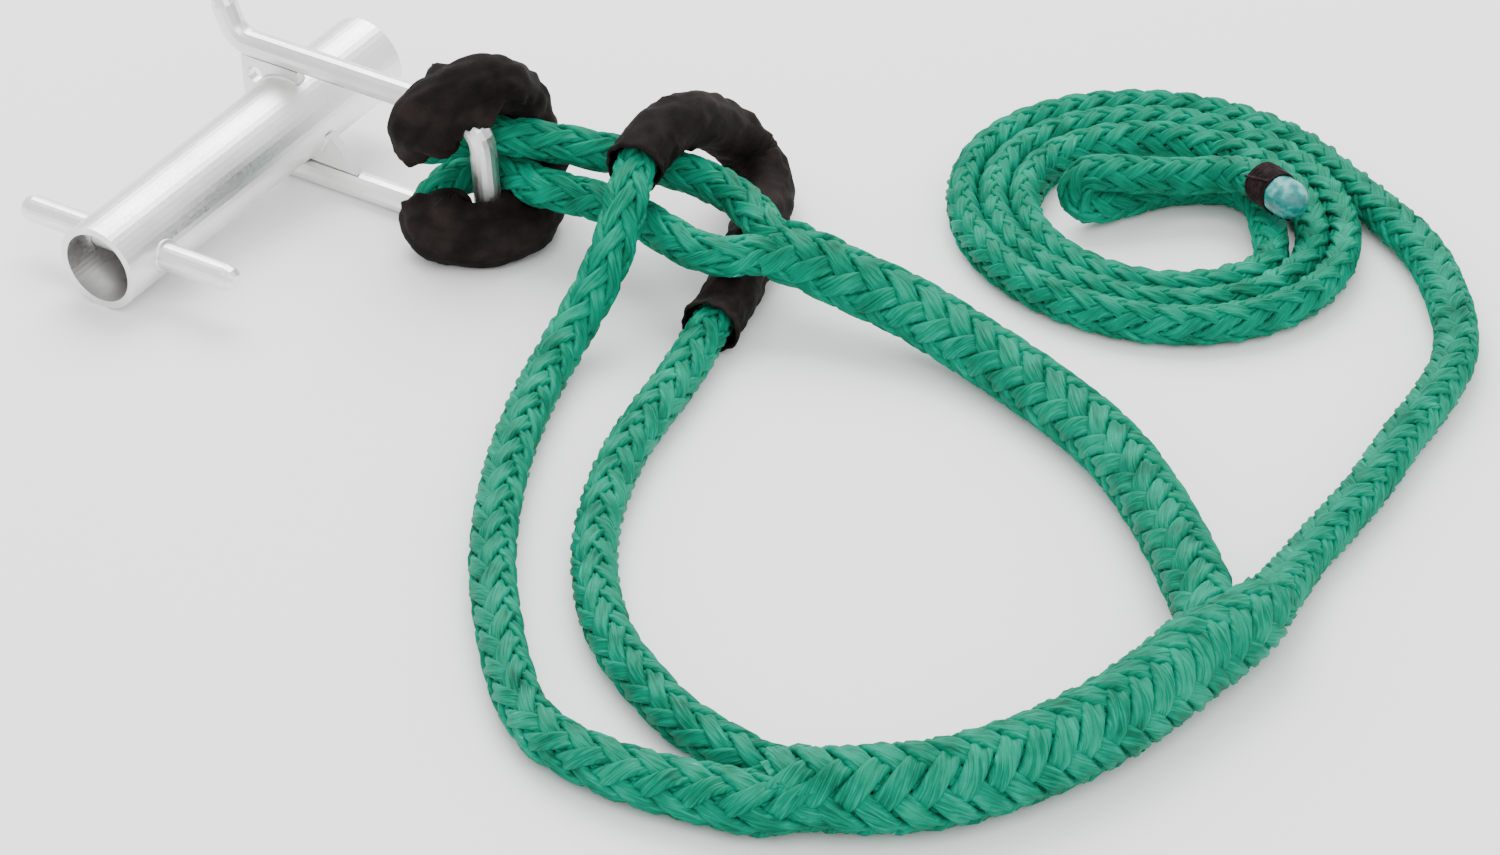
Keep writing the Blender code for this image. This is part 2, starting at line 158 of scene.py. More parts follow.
@dataclass(frozen=True)
class Station:
    """One place on a line, with its crosswise directions and the half sizes there."""

    place: Vector
    side: Vector
    over: Vector
    along: Vector
    wide: float
    tall: float
    distance: float

    def around(self, angle: float) -> Vector:
        """The direction out of the line at an angle from its side."""
        return self.side * math.cos(angle) + self.over * math.sin(angle)


def blend(first: float, second: float, share: float) -> float:
    """The number that lies a share of the way from the first to the second."""
    return first + (second - first) * share


def even_sizes(route: list[Point], half: float) -> list[Size]:
    """The same round size at every point of a route."""
    return [(half, half)] * len(route)


def round_sizes(halves: list[float]) -> list[Size]:
    """Half width and half height of a round rope, from its half size at each point."""
    return [(half, half) for half in halves]


def smooth_line(route: list[Point], sizes: list[Size]) -> Line:
    """Read a smooth curve through a route.

    Args:
        route: the points that the curve goes through.
        sizes: half width and half height at each of them.

    Returns:
        Place, half width and half height, in order along the curve.
    """
    places = [Vector(point) for point in route]
    padded = [places[0] * 2 - places[1], *places, places[-1] * 2 - places[-2]]
    line = []
    for index, (a, b, c, d) in enumerate(zip(padded, padded[1:], padded[2:], padded[3:])):
        for step in range(SPAN_STEPS):
            t = step / SPAN_STEPS
            place = 0.5 * (2 * b + (c - a) * t + (2 * a - 5 * b + 4 * c - d) * t ** 2
                           + (3 * b - a - 3 * c + d) * t ** 3)
            halves = [blend(first, second, t) for first, second in zip(sizes[index], sizes[index + 1])]
            line.append((place, *halves))
    line.append((places[-1], *sizes[-1]))
    return line


def evenly(line: Line, step: float) -> list[Station]:
    """Place stations at even distances on a line, turned along it without twist.

    Args:
        line: place, half width and half height along the line.
        step: distance to aim at between stations.

    Returns:
        The stations, the first and last at the line's two ends.
    """
    lengths = [0.0]
    for first, second in zip(line, line[1:]):
        lengths.append(lengths[-1] + (second[0] - first[0]).length)
    count = max(2, round(lengths[-1] / step))
    read = []
    at = 0
    for index in range(count + 1):
        distance = lengths[-1] * index / count
        while at < len(line) - 2 and lengths[at + 1] < distance:
            at += 1
        t = (distance - lengths[at]) / (lengths[at + 1] - lengths[at])
        (place, wide, tall), (next_place, next_wide, next_tall) = line[at], line[at + 1]
        place = place.lerp(next_place, t)
        read.append((place, blend(wide, next_wide, t), blend(tall, next_tall, t), distance))
    stations = []
    side = (read[1][0] - read[0][0]).cross(UP)
    for index, (place, wide, tall, distance) in enumerate(read):
        place.z = max(place.z, tall + OFF_FLOOR)
        along = (read[min(index + 1, count)][0] - read[max(index - 1, 0)][0]).normalized()
        side = (side - along * side.dot(along)).normalized()
        stations.append(Station(place, side.copy(), side.cross(along), along, wide, tall, distance))
    return stations


# ---------------------------------------------------------------- node trees

class Graph:
    """Adds nodes to a node tree and joins them up."""

    def __init__(self, tree: bpy.types.NodeTree) -> None:
        """Work on a tree."""
        self.tree = tree

    def add(self, kind: str, inputs: dict | None = None, settings: dict | None = None) -> bpy.types.Node:
        """Add a node.

        Args:
            kind: the node's type.
            inputs: a value, or a socket to link from, for each input by name or number.
            settings: the node's own properties.

        Returns:
            The new node.
        """
        node = self.tree.nodes.new(kind)
        for name, value in (settings or {}).items():
            setattr(node, name, value)
        for name, value in (inputs or {}).items():
            if isinstance(value, Socket):
                self.tree.links.new(value, node.inputs[name])
            else:
                node.inputs[name].default_value = value
        return node

    def math(self, operation: str, *values: float | Socket) -> Socket:
        """The result of a number operation."""
        return self.add("ShaderNodeMath", dict(enumerate(values)), {"operation": operation}).outputs[0]

    def times(self, first: float | Socket, second: float | Socket) -> Socket:
        """One number times another."""
        return self.math("MULTIPLY", first, second)

    def less(self, first: float | Socket, second: float | Socket) -> Socket:
        """One number less another."""
        return self.math("SUBTRACT", first, second)

    def vector(self, operation: str, *values: Point | Socket) -> Socket:
        """The result of a vector operation."""
        node = self.add("ShaderNodeVectorMath", dict(enumerate(values)), {"operation": operation})
        return node.outputs["Vector"]

    def scaled(self, vector: Point | Socket, factor: float | Socket) -> Socket:
        """A vector times a number."""
        node = self.add("ShaderNodeVectorMath", {0: vector, "Scale": factor}, {"operation": "SCALE"})
        return node.outputs["Vector"]

    def uneven(self, place: Socket, scale: float | Socket, detail: float) -> bpy.types.Node:
        """Noise at a place."""
        return self.add("ShaderNodeTexNoise", {"Vector": place, "Scale": scale, "Detail": detail})

    def position(self) -> Socket:
        """The place of each point of the geometry."""
        return self.add("GeometryNodeInputPosition").outputs[0]

    def read(self, name: str, kind: str = "FLOAT") -> Socket:
        """A named attribute of the geometry."""
        node = self.add("GeometryNodeInputNamedAttribute", {"Name": name}, {"data_type": kind})
        return node.outputs["Attribute"]

    def store(self, geometry: Socket, name: str, value: Socket) -> Socket:
        """The geometry with a number kept on its points under a name."""
        given = {"Geometry": geometry, "Name": name, "Value": value}
        return self.add("GeometryNodeStoreNamedAttribute", given).outputs[0]

    def swept(self, curve: Socket, profile: Socket, scale: Socket) -> Socket:
        """A closed skin from a profile that is led along a curve."""
        given = {"Curve": curve, "Profile Curve": profile, "Scale": scale, "Fill Caps": True}
        return self.add("GeometryNodeCurveToMesh", given).outputs[0]


def open_tree(name: str, numbers: dict[str, float]) -> tuple[Graph, bpy.types.NodeOutputs]:
    """Start a geometry tree with number inputs and a material.

    Args:
        name: the tree's name.
        numbers: the number inputs, with their defaults.

    Returns:
        The graph and the sockets of its inputs.
    """
    tree = bpy.data.node_groups.new(name, "GeometryNodeTree")
    tree.interface.new_socket("Geometry", in_out="INPUT", socket_type="NodeSocketGeometry")
    for label, value in numbers.items():
        kind = "NodeSocketInt" if isinstance(value, int) else "NodeSocketFloat"
        tree.interface.new_socket(label, in_out="INPUT", socket_type=kind).default_value = value
    tree.interface.new_socket("Finish", in_out="INPUT", socket_type="NodeSocketMaterial")
    tree.interface.new_socket("Geometry", in_out="OUTPUT", socket_type="NodeSocketGeometry")
    graph = Graph(tree)
    return graph, graph.add("NodeGroupInput").outputs


def close_tree(graph: Graph, given: bpy.types.NodeOutputs, geometry: Socket) -> bpy.types.NodeTree:
    """Shade, finish and put out what a geometry tree has made.

    Args:
        graph: the tree's graph.
        given: the sockets of its inputs.
        geometry: what it has made.

    Returns:
        The finished tree.
    """
    smooth = graph.add("GeometryNodeSetShadeSmooth", {"Geometry": geometry})
    real = graph.add("GeometryNodeRealizeInstances", {"Geometry": smooth.outputs[0]})
    dressed = {"Geometry": real.outputs[0], "Material": given["Finish"]}
    graph.add("NodeGroupOutput", {0: graph.add("GeometryNodeSetMaterial", dressed).outputs[0]})
    return graph.tree


def strand_profile(graph: Graph, given: bpy.types.NodeOutputs) -> Socket:
    """The section of one strand: two yarns side by side, flattened, with a dip between them.

    Args:
        graph: the braid tree's graph.
        given: the sockets of its inputs.

    Returns:
        The section as a closed curve, its thickness along X and its width along Y.
    """
    circle = graph.add("GeometryNodeCurvePrimitiveCircle",
                       {"Resolution": given["Section points"], "Radius": 1.0}, {"mode": "RADIUS"})
    split = graph.add("ShaderNodeSeparateXYZ", {0: graph.position()}).outputs
    across = split["Y"]
    crown = graph.math("MULTIPLY_ADD", graph.math("ABSOLUTE", across), given["Yarn crown"], given["Yarn dip"])
    height = graph.times(graph.times(split["X"], crown), given["Thickness"])
    shaped = graph.add("ShaderNodeCombineXYZ", {"X": height, "Y": across, "Z": 0.0})
    moved = graph.add("GeometryNodeSetPosition", {"Geometry": circle.outputs["Curve"],
                                                  "Position": shaped.outputs[0]})
    return graph.store(moved.outputs[0], "across", across)


def braid_tree() -> bpy.types.NodeTree:
    """Strands braided two over two round a line, half of them turning each way.

    The line's points carry the vectors ring_side and ring_over, the braid's turn so far and the
    half width of a strand. A strand is proud while its angle is in one of three sectors.

    Returns:
        The tree.
    """
    graph, given = open_tree("hollow_braid", {
        "Strands": 12, "Section points": 12, "Sectors": 3, "Steepness": 1.6, "Lift": 0.34, "Thickness": 0.52,
        "Yarn crown": 1.15, "Yarn dip": 0.48, "Unevenness": 0.0009, "Noise rate": 75.0})
    apart = (7.0, 3.0, 5.0)              # parts the noise of the two hands
    line = graph.add("GeometryNodeMeshToCurve", {0: given["Geometry"]})
    copies = graph.add("GeometryNodeDuplicateElements",
                       {"Geometry": line.outputs[0], "Amount": given["Strands"]}, {"domain": "SPLINE"})
    number = copies.outputs["Duplicate Index"]
    each_way = graph.times(given["Strands"], 0.5)
    second_half = graph.math("GREATER_THAN", number, graph.less(each_way, 0.5))
    hand = graph.less(1.0, graph.times(second_half, 2.0))
    start = graph.times(graph.math("DIVIDE", number, each_way), TURN)
    angle = graph.math("ADD", start, graph.times(graph.read("turn"), hand))
    sector = graph.math("SINE", graph.math("MULTIPLY_ADD", angle, given["Sectors"], math.pi / 4))
    steep = graph.times(sector, given["Steepness"])
    level = graph.times(graph.math("MINIMUM", graph.math("MAXIMUM", steep, -1.0), 1.0), hand)
    ring = graph.vector("ADD",
                        graph.scaled(graph.read("ring_side", "FLOAT_VECTOR"), graph.math("COSINE", angle)),
                        graph.scaled(graph.read("ring_over", "FLOAT_VECTOR"), graph.math("SINE", angle)))
    outward = graph.vector("NORMALIZE", ring)
    width = graph.read("strand")
    lift = graph.times(graph.times(level, given["Lift"]), width)
    shift = graph.vector("ADD", ring, graph.scaled(outward, lift))
    place = graph.vector("ADD", graph.vector("ADD", graph.position(), shift), graph.scaled(apart, hand))
    rough = graph.uneven(place, given["Noise rate"], 1.0).outputs["Color"]
    wander = graph.scaled(graph.vector("SUBTRACT", rough, (0.5, 0.5, 0.5)), given["Unevenness"])
    moved = graph.add("GeometryNodeSetPosition", {"Geometry": copies.outputs["Geometry"],
                                                  "Offset": graph.vector("ADD", shift, wander)})
    turned = graph.add("GeometryNodeSetCurveNormal", {"Curve": moved.outputs[0], "Normal": outward},
                       {"mode": "FREE"})
    length = graph.add("GeometryNodeSplineParameter").outputs["Length"]
    strands = graph.store(graph.store(turned.outputs[0], "run", length), "yarn", number)
    return close_tree(graph, given, graph.swept(strands, strand_profile(graph, given), width))


def thread_tree() -> bpy.types.NodeTree:
    """A round thread or bead along a line, its thickness rippling along its length.

    Returns:
        The tree.
    """
    graph, given = open_tree("rippled_thread", {"Radius": 0.0005, "Ripple": 0.12, "Ripple rate": 400.0,
                                                "Sides": 8})
    line = graph.add("GeometryNodeMeshToCurve", {0: given["Geometry"]})
    length = graph.add("GeometryNodeSplineParameter").outputs["Length"]
    wave = graph.math("SINE", graph.times(length, given["Ripple rate"]))
    swell = graph.math("MULTIPLY_ADD", wave, given["Ripple"], 1.0)
    profile = graph.add("GeometryNodeCurvePrimitiveCircle",
                        {"Resolution": given["Sides"], "Radius": given["Radius"]}, {"mode": "RADIUS"})
    return close_tree(graph, given, graph.swept(line.outputs[0], profile.outputs["Curve"], swell))


def grown(name: str, source: bpy.types.Mesh, tree: bpy.types.NodeTree, values: dict,
          finish: bpy.types.Material) -> bpy.types.Object:
    """Grow a plain mesh from a line with a geometry tree.

    Args:
        name: the new object's name.
        source: the mesh that carries the line.
        tree: the geometry tree.
        values: the tree's inputs that differ from their defaults, by name.
        finish: the material.

    Returns:
        An object at the origin with no modifiers.
    """
    carrier = bpy.data.objects.new(name + "_line", source)
    bpy.context.scene.collection.objects.link(carrier)
    modifier = carrier.modifiers.new("grow", "NODES")
    modifier.node_group = tree
    given = {**values, "Finish": finish}
    for item in tree.interface.items_tree:
        if item.in_out == "INPUT" and item.name in given:
            modifier[item.identifier] = given[item.name]
    bpy.context.view_layer.update()
    evaluated = carrier.evaluated_get(bpy.context.evaluated_depsgraph_get())
    data = bpy.data.meshes.new_from_object(evaluated)
    bpy.data.objects.remove(carrier)
    data.name = name
    piece = bpy.data.objects.new(name, data)
    bpy.context.scene.collection.objects.link(piece)
    return piece


def line_mesh(name: str, lines: list[list[Vector]]) -> bpy.types.Mesh:
    """Draw open lines as a mesh of edges.

    Args:
        name: the mesh's name.
        lines: the points of each line.

    Returns:
        The mesh.
    """
    points = [place for line in lines for place in line]
    edges = []
    first = 0
    for line in lines:
        edges += [(first + step, first + step + 1) for step in range(len(line) - 1)]
        first += len(line)
    data = bpy.data.meshes.new(name)
    data.from_pydata(points, edges, [])
    return data


def join_rings(shape: bmesh.types.BMesh, rings: list[list[bmesh.types.BMVert]]) -> None:
    """Skin a row of rings that have the same number of points.

    Args:
        shape: the mesh that the rings are in.
        rings: the rings' points, in order.
    """
    for first, second in zip(rings, rings[1:]):
        for step in range(len(first)):
            following = (step + 1) % len(first)
            shape.faces.new((first[step], first[following], second[following], second[step]))


def placed(name: str, shape: bmesh.types.BMesh, finish: bpy.types.Material) -> bpy.types.Object:
    """Turn a bmesh into a smooth object at the origin.

    Args:
        name: the object's name.
        shape: its mesh, which is used up.
        finish: its material.

    Returns:
        The object.
    """
    bmesh.ops.recalc_face_normals(shape, faces=shape.faces)
    data = bpy.data.meshes.new(name)
    shape.to_mesh(data)
    shape.free()
    data.shade_smooth()
    data.materials.append(finish)
    piece = bpy.data.objects.new(name, data)
    bpy.context.scene.collection.objects.link(piece)
    return piece


def declare(piece: bpy.types.Object, body: Bodies, nodes: tuple[str, ...] = ()) -> None:
    """Tell the frame what a piece rides on and what it stands for, and report it.

    Args:
        piece: the piece.
        body: the body that it moves with.
        nodes: the CAD nodes that it replaces.
    """
    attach(piece, body.value)
    if nodes:
        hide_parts(*nodes)
    LOG.info("%s rides on %s and has %d faces", piece.name, body.value, len(piece.data.polygons))


# ---------------------------------------------------------------- finishes

def open_masks(name: str, numbers: dict[str, float],
               masks: tuple[str, ...]) -> tuple[Graph, bpy.types.NodeOutputs]:
    """Start a shader group that puts out masks.

    Args:
        name: the group's name.
        numbers: its number inputs, with their defaults.
        masks: the names of the masks.

    Returns:
        The graph and the sockets of its inputs.
    """
    tree = bpy.data.node_groups.new(name, "ShaderNodeTree")
    for label, value in numbers.items():
        tree.interface.new_socket(label, in_out="INPUT", socket_type="NodeSocketFloat").default_value = value
    for label in masks:
        tree.interface.new_socket(label, in_out="OUTPUT", socket_type="NodeSocketFloat")
    graph = Graph(tree)
    return graph, graph.add("NodeGroupInput").outputs


def masks_group() -> bpy.types.NodeTree:
    """Shared masks: a broad and a fine unevenness, read in the object's own space.

    Returns:
        The shader group.
    """
    graph, given = open_masks("uneven_masks", {"Broad rate": 30.0, "Fine rate": 900.0}, ("Broad", "Fine"))
    place = graph.add("ShaderNodeTexCoord").outputs["Object"]
    broad = graph.uneven(place, given["Broad rate"], 3.0)
    fine = graph.uneven(place, given["Fine rate"], 2.0)
    graph.add("NodeGroupOutput", {"Broad": broad.outputs["Fac"], "Fine": fine.outputs["Fac"]})
    return graph.tree


def fibre_group() -> bpy.types.NodeTree:
    """Shared fibre mask: fine streaks that run along a strand, slightly turned across it.

    Returns:
        The shader group.
    """
    graph, given = open_masks("fibre_streaks", {"Fibres across": 4.0, "Slant": 260.0, "Fibre rate": 45.0,
                                                "Streak rate": 1.6}, ("Streaks",))
    across, run, yarn = (graph.add("ShaderNodeAttribute", settings={"attribute_name": name}).outputs["Fac"]
                         for name in ("across", "run", "yarn"))
    turned = graph.math("ADD", graph.times(across, given["Fibres across"]), graph.times(run, given["Slant"]))
    along = graph.times(run, given["Fibre rate"])
    place = graph.add("ShaderNodeCombineXYZ", {"X": turned, "Y": along, "Z": yarn})
    streaks = graph.uneven(place.outputs[0], given["Streak rate"], 3.0)
    graph.add("NodeGroupOutput", {"Streaks": streaks.outputs["Fac"]})
    return graph.tree


@dataclass(frozen=True)
class Finish:
    """Colours and roughness of one surface."""

    slot: Slots  # the record's slot that it belongs to
    colours: tuple[Colour, ...]  # from its dark parts over its main colour to its lightest fibres, then, where there is a fourth, a painted glint of highlight
    rough: float  # roughness of its main parts
    metal: float = 0.0  # how metallic it is
    bump: float = 0.00015  # depth of its fine relief, in metres
    broad_rate: float = 30.0  # broad spots for each metre
    fine_rate: float = 900.0  # fine spots for each metre
    fibres: bool = False  # whether its detail runs along braided strands
    shine: float = 0.5  # strength of its surface reflection
    stops: tuple[float, ...] = (0.34, 0.5, 0.68, 0.76)  # where on its tone each of the colours is reached; the last stop is where the painted glint highlight starts
    streak_share: float = 0.55  # share of the fibres in the tone
    rough_swing: float = 0.35  # how much the roughness changes with the detail
    bump_strength: float = 0.7  # strength of its fine relief

    def coloured(self, graph: Graph, tone: Socket) -> Socket:
        """Turn a tone into the finish's colours.

        Args:
            graph: the material's graph.
            tone: the tone, about one half on average.

        Returns:
            The colour.
        """
        ramp = graph.add("ShaderNodeValToRGB", {"Fac": tone})
        stops = ramp.color_ramp.elements
        stops.remove(stops[1])
        stops[0].position = self.stops[0]
        stops[0].color = (*self.colours[0], 1.0)
        # a fourth colour, where a finish has one, is a painted glint of highlight at the top of its tone
        for position, colour in zip(self.stops[1:], self.colours[1:]):
            stops.new(position).color = (*colour, 1.0)
        return ramp.outputs["Color"]

    def material(self, masks: bpy.types.NodeTree, fibres: bpy.types.NodeTree) -> bpy.types.Material:
        """Build the material.

        Args:
            masks: the shared group of uneven masks.
            fibres: the shared group of fibre streaks.

        Returns:
            The material.
        """
        new = bpy.data.materials.new(self.slot.value + "_finish")
        new.use_nodes = True
        graph = Graph(new.node_tree)
        shader = new.node_tree.nodes["Principled BSDF"]
        uneven = graph.add("ShaderNodeGroup", settings={"node_tree": masks})
        uneven.inputs["Broad rate"].default_value = self.broad_rate
        uneven.inputs["Fine rate"].default_value = self.fine_rate
        detail = uneven.outputs["Fine"]
        tone = uneven.outputs["Broad"]
        if self.fibres:
            detail = graph.add("ShaderNodeGroup", settings={"node_tree": fibres}).outputs["Streaks"]
            tone = graph.math("ADD", graph.times(tone, 1.0 - self.streak_share),
                              graph.times(detail, self.streak_share))
        worn = graph.math("MULTIPLY_ADD", graph.less(detail, 0.5), self.rough_swing, self.rough)
        relief = graph.add("ShaderNodeBump", {"Height": detail, "Distance": self.bump,
                                              "Strength": self.bump_strength})
        graph.tree.links.new(self.coloured(graph, tone), shader.inputs["Base Color"])
        graph.tree.links.new(worn, shader.inputs["Roughness"])
        graph.tree.links.new(relief.outputs["Normal"], shader.inputs["Normal"])
        shader.inputs["Metallic"].default_value = self.metal
        shader.inputs["Specular IOR Level"].default_value = self.shine
        new.diffuse_color = (*self.colours[1], 1.0)
        return new


FINISHES = [
    Finish(Slots.METAL, ((0.74, 0.735, 0.73), (0.86, 0.855, 0.85), (0.95, 0.945, 0.94)), 0.38,
           metal=1.0, bump=0.00006, broad_rate=18.0, fine_rate=700.0),
    # green braid; its fourth colour, a pale green-white, is a painted glint of highlight on the fibres
    Finish(Slots.BRAID, ((0.0, 0.065, 0.034), (0.0, 0.17, 0.095), (0.0, 0.285, 0.18), (0.35, 0.85, 0.72)),
           0.6, bump=0.0003, broad_rate=55.0, fibres=True, shine=0.08),
    Finish(Slots.SLEEVE, ((0.0025, 0.0016, 0.0014), (0.0065, 0.0042, 0.0038), (0.016, 0.011, 0.0095)), 0.82,
           bump=0.0003, broad_rate=60.0, fine_rate=1500.0, shine=0.12),
    Finish(Slots.WHIPPING, ((0.003, 0.0015, 0.0015), (0.011, 0.0045, 0.005), (0.035, 0.014, 0.015)), 0.7,
           bump=0.0002, broad_rate=220.0, fine_rate=1800.0, shine=0.15),
    Finish(Slots.DIP, ((0.0, 0.11, 0.10), (0.0, 0.19, 0.18), (0.10, 0.40, 0.39)), 0.35,
           bump=0.0003, broad_rate=160.0, fine_rate=500.0),
]


# ---------------------------------------------------------------- the braided rope

@dataclass(frozen=True)
class BraidSizes:
    """Sizes that every stretch of the one rope shares."""

    strand_per_turn: float = 0.122  # length of strand in one turn round the rope
    step: float = 0.0035  # between the points of the centre line
    strands_each_way: int = 6
    depth_share: float = 0.86  # depth of a strand's middle, in half widths of it
    first_depth: float = 0.003  # the depth that the fit starts from
    least_pitch: float = 0.03
    fit_rounds: int = 3


@dataclass(frozen=True)
class BraidedRope:
    """A stretch of hollow-braid rope along a route."""

    name: str
    line: Line  # place, half width and half height along it
    nodes: tuple[str, ...]  # the CAD nodes that it stands for
    diameter: float  # the rope's diameter
    far_end: FarEnd = FarEnd.OBJECT  # what it comes to at its far end
    lay: Lay = Lay.LOOSE  # how it lies
    sizes: BraidSizes = BraidSizes()  # the braid's sizes

    def wall(self, station: Station) -> tuple[float, float, float]:
        """Fit the braid's wall to the rope's size at a station.

        Args:
            station: the station.

        Returns:
            Half width of a strand, depth of its middle below the surface, and the rope's length
            for each turn of a strand.
        """
        sizes = self.sizes
        half = (station.wide + station.tall) / 2
        middle = half - sizes.first_depth
        for _ in range(sizes.fit_rounds):
            round_it = TURN * middle
            pitch = math.sqrt(max(sizes.strand_per_turn ** 2 - round_it ** 2, sizes.least_pitch ** 2))
            strand = 0.5 * round_it / sizes.strands_each_way * pitch / math.hypot(pitch, round_it)
            middle = half - sizes.depth_share * strand
        return strand, half - middle, pitch

    def grow(self, stations: list[Station], tree: bpy.types.NodeTree,
             finish: bpy.types.Material) -> bpy.types.Object:
        """Grow the braid on a line that carries its sizes.

        Args:
            stations: the stations of its centre line.
            tree: the braid's tree.
            finish: the rope's material.

        Returns:
            The piece.
        """
        data = line_mesh(self.name, [[station.place for station in stations]])
        turn = 0.0
        before = 0.0
        vectors = {"ring_side": [], "ring_over": []}
        numbers = {"turn": [], "strand": []}
        for station in stations:
            strand, depth, pitch = self.wall(station)
            turn += TURN * (station.distance - before) / pitch
            before = station.distance
            vectors["ring_side"].extend(station.side * (station.wide - depth))
            vectors["ring_over"].extend(station.over * (station.tall - depth))
            numbers["turn"].append(turn)
            numbers["strand"].append(strand)
        for name, values in vectors.items():
            data.attributes.new(name, "FLOAT_VECTOR", "POINT").data.foreach_set("vector", values)
        for name, values in numbers.items():
            data.attributes.new(name, "FLOAT", "POINT").data.foreach_set("value", values)
        return grown(self.name, data, tree, {}, finish)

    def build(self, tree: bpy.types.NodeTree, finish: bpy.types.Material,
              carried: tuple[bpy.types.Object, ...] = ()) -> None:
        """Args:
            tree: the braid's tree.
            finish: the rope's material.
            carried: the pieces that sit on it; not used.
        """
        stations = evenly(self.line, self.sizes.step)
        piece = self.grow(stations, tree, finish)
        declare(piece, Bodies.SLING, self.nodes)


# ---------------------------------------------------------------- fabric sleeves

@dataclass(frozen=True)
class Creases:
    """The creases of a sleeve's cloth, made of shares of one height."""

    height: float = 0.0015  # their height, in metres
    soft: float = 0.75  # share of the soft swells
    ridges: float = 0.4  # share of the ridges
    sunk: float = 0.35  # share that the cloth lies lower
    facets: float = 1.5  # share of the flat facets
    facet_most: float = 0.8  # cap on a facet's height
    round_scale: float = 1.3  # noise units for the sleeve's radius
    along_scale: float = 48.0  # noise units for each metre along it
    ridge_scale: float = 1.9  # scale of the ridges' noise
    ridges_apart: Size = (3.1, 0.7)  # parts the ridges' noise from the swells'
    facet_scale: float = 1.3125  # scale of the facets' noise

    def spot(self, angle: float, distance: float, seed: float) -> Vector:
        """The place in the noise for a place on the sleeve."""
        return Vector((math.cos(angle) * self.round_scale, math.sin(angle) * self.round_scale,
                       distance * self.along_scale + seed))

    def out(self, spot: Vector, seed: float) -> float:
        """How far the creases stand out.

        Args:
            spot: the place in the noise.
            seed: the sleeve's own offset.

        Returns:
            The height, in metres.
        """
        soft = noise.noise(spot)
        ridge = 1.0 - 2.0 * abs(noise.noise(spot * self.ridge_scale + Vector((*self.ridges_apart, seed))))
        nearest = noise.voronoi(spot * self.facet_scale)[0]
        facet = min(nearest[1] - nearest[0], self.facet_most)
        return self.height * (self.soft * soft + self.ridges * ridge - self.sunk + self.facets * facet)


@dataclass(frozen=True)
class CrossFolds:
    """The folds that gather across a sleeve inside its bends."""

    height: float = 0.0016  # their height, in metres
    every: float = 0.0085  # distance from fold to fold
    lean: float = 4.4  # how far they lean out of square, in radians of the wave
    lean_scale: float = 0.8  # scale of the lean's noise
    wave: float = 0.5  # share of the height in the wave
    sunk: float = 0.4  # share of the height that the cloth lies lower
    gain: float = 0.045  # how fast they grow with the bend, in metres of its radius
    least: float = 0.15  # the bend that they start from

    def out(self, inward: float, distance: float, spot: Vector, seed: float, puff: float) -> float:
        """How far the folds stand out.

        Args:
            inward: how much the line bends towards this side.
            distance: distance along the sleeve.
            spot: the place in the noise.
            seed: the sleeve's own offset.
            puff: how far the cloth stands off where the bend is full.

        Returns:
            The height, in metres.
        """
        share = min(max(0.0, inward * self.gain - self.least), 1.0)
        wave = math.sin(TURN * distance / self.every + noise.noise(spot * self.lean_scale) * self.lean + seed)
        return share * (self.height * (self.wave * wave - self.sunk) + puff)


@dataclass(frozen=True)
class Hem:
    """The sewn mouth of a sleeve: it flares, with a raised rim and a sunk seam."""

    length: float = 0.009  # how far it reaches into the sleeve
    flare: float = 0.0012  # how far the mouth stands off
    least: float = 0.6  # share of the flare that is the same all round
    waves: float = 0.8  # share of the flare that changes round the mouth
    wave_scale: float = 2.3  # scale of that change's noise
    relief: float = 0.0005  # height of the rim and depth of the seam
    rim_at: float = 0.0015  # the rim's distance from the mouth
    rim_width: float = 0.0012  # the rim's half width
    seam_at: float = 0.0062  # the seam's distance from the mouth
    seam_width: float = 0.0009  # the seam's half width

    def out(self, from_end: float, spot: Vector) -> float:
        """How far the hem stands out.

        Args:
            from_end: distance from the nearer mouth.
            spot: the place in the noise.

        Returns:
            The height, in metres.
        """
        if from_end >= self.length:
            return 0.0
        rim = math.exp(-((from_end - self.rim_at) / self.rim_width) ** 2)
        seam = math.exp(-((from_end - self.seam_at) / self.seam_width) ** 2)
        waves = self.least + self.waves * noise.noise(spot * self.wave_scale)
        return self.flare * (1.0 - from_end / self.length) * waves + self.relief * (rim - seam)


